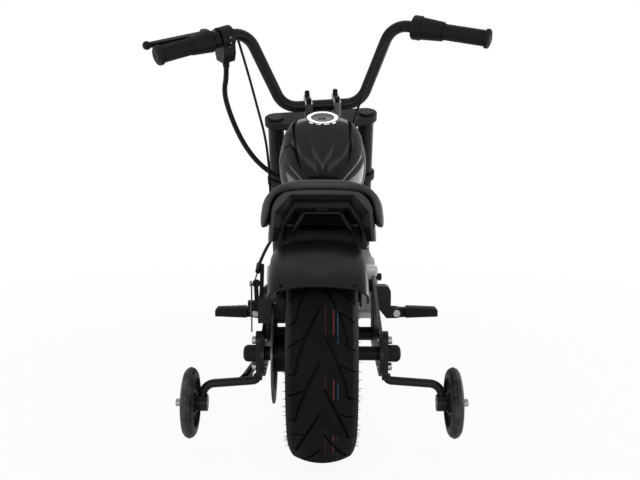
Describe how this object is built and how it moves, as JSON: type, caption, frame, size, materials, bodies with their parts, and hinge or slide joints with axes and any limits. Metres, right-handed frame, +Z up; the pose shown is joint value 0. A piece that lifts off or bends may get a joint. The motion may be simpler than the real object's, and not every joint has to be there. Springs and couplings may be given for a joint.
{
  "type": "kids electric motorbike",
  "caption": "Child's ride-on electric chopper with wide tyres, high handlebar, saddle, folding pegs and bolted training wheels.",
  "frame": {"origin": "on the ground, midway between the front and rear axles, in the rear wheel's middle plane", "axes": "+Z up, +Y forwards, +X to the rider's right"},
  "size_m": [0.6427, 1.0393, 0.6867],
  "materials": {
    "frame_paint": "gloss black powder coat",
    "tank_gloss": "high gloss black moulding",
    "black_plastic": "fine satin black moulding",
    "chrome": "bright plating",
    "dial_plastic": "printed dial left bare, under clear varnish",
    "seat_vinyl": "soft black synthetic leather",
    "tyre_rubber": "matt black rubber",
    "grip_rubber": "moulded black rubber",
    "trainer_plastic": "hard black plastic with a grained tread",
    "rim_alloy": "black anodised casting",
    "zinc_steel": "bright zinc plate",
    "black_steel": "black oxide",
    "disc_steel": "ground steel",
    "silver_plastic": "silver lacquered moulding",
    "lamp_glass": "clear moulded lens",
    "cord_jacket": "smooth black jacket"
  },
  "bodies": {
    "frame": {"main_frame": "frame_paint", "left_dropout": "frame_paint", "right_dropout": "frame_paint", "tank_cover": "tank_gloss", "gauge_bezel": "chrome", "gauge_dial": "dial_plastic", "seat_pad": "seat_vinyl", "seat_base": "black_plastic", "seat_hoop": "frame_paint", "rear_fender": "black_plastic", "left_engine_cover": "silver_plastic", "right_engine_cover": "silver_plastic", "engine_cylinders": "silver_plastic", "battery_pack": "black_plastic", "left_peg_bracket": "frame_paint", "right_peg_bracket": "frame_paint", "frame_bolts": "black_steel", "left_training_arm": "frame_paint", "right_training_arm": "frame_paint", "training_axles": "zinc_steel", "rear_axle": "black_steel", "rear_axle_caps": "black_steel", "motor_stator": "zinc_steel", "caliper_body": "frame_paint", "brake_cable": "cord_jacket", "wire_loom": "cord_jacket", "throttle_wire": "cord_jacket"},
    "steering": {"upper_yoke": "frame_paint", "lower_yoke": "frame_paint", "steering_stem": "zinc_steel", "left_fork_leg": "frame_paint", "right_fork_leg": "frame_paint", "front_axle": "black_steel", "handlebar": "frame_paint", "handlebar_risers": "chrome", "riser_bolts": "black_steel", "left_grip": "grip_rubber", "switch_pod": "black_plastic", "lever_perch": "frame_paint", "throttle_housing": "black_plastic", "headlight_shell": "frame_paint", "headlight_lens": "lamp_glass", "front_fender": "black_plastic"},
    "front_wheel": {"front_tyre": "tyre_rubber", "front_rim": "rim_alloy"},
    "rear_wheel": {"rear_tyre": "tyre_rubber", "rear_hub": "rim_alloy", "brake_disc": "disc_steel"},
    "brake_lever": {"brake_lever": "frame_paint"},
    "throttle_grip": {"throttle_grip": "grip_rubber"},
    "left_training_wheel": {"left_training_wheel": "trainer_plastic"},
    "right_training_wheel": {"right_training_wheel": "trainer_plastic"},
    "kickstand": {"kickstand": "frame_paint"},
    "left_peg": {"left_peg": "grip_rubber"},
    "right_peg": {"right_peg": "grip_rubber"},
    "upper_button": {"upper_button": "grip_rubber"},
    "middle_button": {"middle_button": "grip_rubber"},
    "lower_button": {"lower_button": "grip_rubber"},
    "caliper_arm": {"caliper_arm": "frame_paint"}
  },
  "joints": [
    {"name": "steering_turn", "type": "hinge", "parent": "frame", "child": "steering", "pos_m": [0, 0.34835, 0.1375], "axis": [0, -0.5, 0.866], "range_deg": [-32, 18], "deforming": ["brake_cable", "wire_loom", "throttle_wire"]},
    {"name": "front_wheel_spin", "type": "hinge", "parent": "steering", "child": "front_wheel", "pos_m": [-0.00305, 0.36984, 0.14991], "axis": [0.9925, 0.1055, 0.0609], "continuous": true},
    {"name": "rear_wheel_spin", "type": "hinge", "parent": "frame", "child": "rear_wheel", "pos_m": [0, -0.37, 0.15], "axis": [1, 0, 0], "continuous": true},
    {"name": "left_training_spin", "type": "hinge", "parent": "frame", "child": "left_training_wheel", "pos_m": [-0.19, -0.37, 0.078], "axis": [1, 0, 0], "continuous": true},
    {"name": "right_training_spin", "type": "hinge", "parent": "frame", "child": "right_training_wheel", "pos_m": [0.19, -0.37, 0.078], "axis": [1, 0, 0], "continuous": true},
    {"name": "brake_lever_squeeze", "type": "hinge", "parent": "steering", "child": "brake_lever", "pos_m": [-0.2218, 0.06432, 0.64873], "axis": [0.0085, -0.4943, 0.8693], "range_deg": [0, 12], "stiffness_Nm_per_rad": 2},
    {"name": "caliper_arm_swing", "type": "hinge", "parent": "frame", "child": "caliper_arm", "pos_m": [-0.0935, -0.34124, 0.2127], "axis": [-1, 0, 0], "range_deg": [0, 15]},
    {"name": "throttle_twist", "type": "hinge", "parent": "steering", "child": "throttle_grip", "pos_m": [0.22521, 0.07152, 0.65326], "axis": [0.9137, -0.3571, -0.1938], "range_deg": [0, 70], "stiffness_Nm_per_rad": 0.4},
    {"name": "kickstand_fold", "type": "hinge", "parent": "frame", "child": "kickstand", "pos_m": [-0.1, -0.22, 0.112], "axis": [1, 0, 0], "range_deg": [0, 80]},
    {"name": "left_peg_fold", "type": "hinge", "parent": "frame", "child": "left_peg", "pos_m": [-0.106, -0.2, 0.174], "axis": [0, 1, 0], "range_deg": [0, 75]},
    {"name": "right_peg_fold", "type": "hinge", "parent": "frame", "child": "right_peg", "pos_m": [0.119, -0.2, 0.174], "axis": [0, -1, 0], "range_deg": [0, 75]},
    {"name": "upper_button_press", "type": "slide", "parent": "steering", "child": "upper_button", "axis": [-0.5908, 0.7974, 0.1228], "range_m": [0, 0.0015], "stiffness_N_per_m": 800},
    {"name": "middle_button_press", "type": "slide", "parent": "steering", "child": "middle_button", "axis": [-0.6043, 0.5866, 0.5392], "range_m": [0, 0.0015], "stiffness_N_per_m": 800},
    {"name": "lower_button_press", "type": "slide", "parent": "steering", "child": "lower_button", "axis": [-0.4862, 0.2478, 0.838], "range_m": [0, 0.0015], "stiffness_N_per_m": 800}
  ],
  "couplings": [
    {"joint": "caliper_arm_swing", "follows": "brake_lever_squeeze", "ratio": 1.25}
  ]
}
